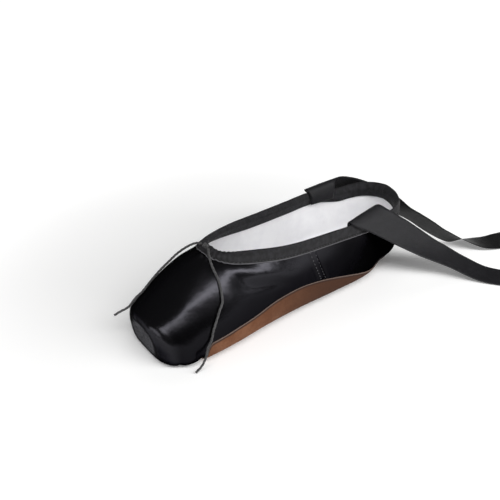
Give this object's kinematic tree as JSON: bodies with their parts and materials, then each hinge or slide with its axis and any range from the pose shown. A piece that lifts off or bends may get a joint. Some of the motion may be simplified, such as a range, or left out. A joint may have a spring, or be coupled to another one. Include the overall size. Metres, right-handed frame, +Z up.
{
  "type": "pointe shoe",
  "caption": "Satin pointe shoe with a flat-tipped toe box, cupped leather sole, bound collar, tied drawstring and loose ankle ribbons.",
  "frame": {"origin": "on the ground under the ball of the foot, at the forefoot's flat spot", "axes": "+Z up, +Y from the toe to the heel, +X to the wearer's left"},
  "size_m": [0.1637, 0.3494, 0.0705],
  "materials": {
    "satin": "black satin",
    "leather": "matt suede",
    "lining": "white cotton",
    "grosgrain": "dark grey ribbed tape",
    "ribbon": "dark grey satin ribbon",
    "cord": "grey cotton cord"
  },
  "bodies": {
    "root": {"upper": "satin", "outsole": "leather", "insole": "lining", "binding": "grosgrain", "ribbon_left": "ribbon", "ribbon_right": "ribbon", "drawstring_knot": "cord", "drawstring_left": "cord", "drawstring_right": "cord"}
  },
  "joints": []
}
